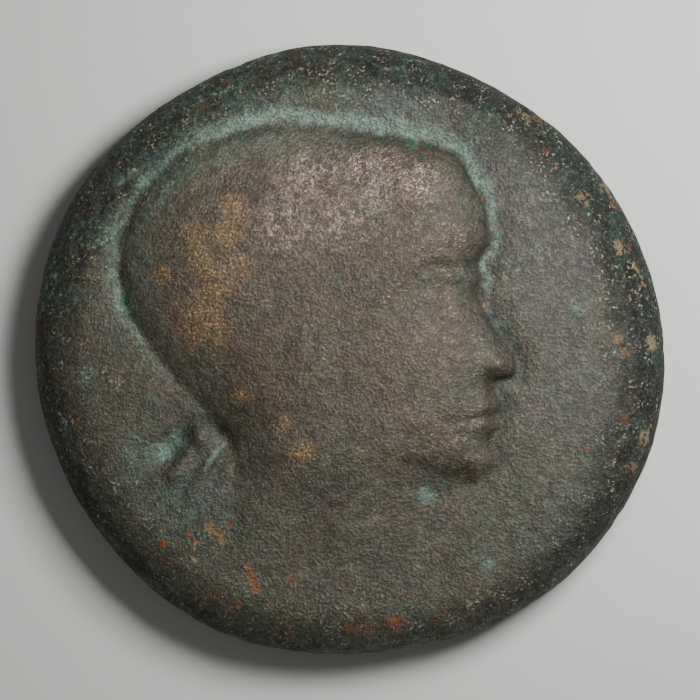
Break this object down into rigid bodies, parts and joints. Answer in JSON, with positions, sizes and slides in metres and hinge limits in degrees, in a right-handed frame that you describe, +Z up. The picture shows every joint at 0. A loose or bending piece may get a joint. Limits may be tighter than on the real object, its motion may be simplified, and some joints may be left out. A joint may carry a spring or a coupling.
{
  "type": "ancient bronze coin",
  "caption": "Thick worn bronze coin on an oval flan with rounded sides, a head in profile in low relief on top and a worn bird below.",
  "frame": {"origin": "centre of the underside, on the flat that the coin rests on", "axes": "+Z up out of the portrait side, +Y from the neck towards the crown of the head, +X the way the face looks"},
  "size_m": [0.027, 0.026, 0.0053],
  "materials": {
    "patinated_bronze": "matte"
  },
  "bodies": {
    "root": {"coin": "patinated_bronze"}
  },
  "joints": []
}
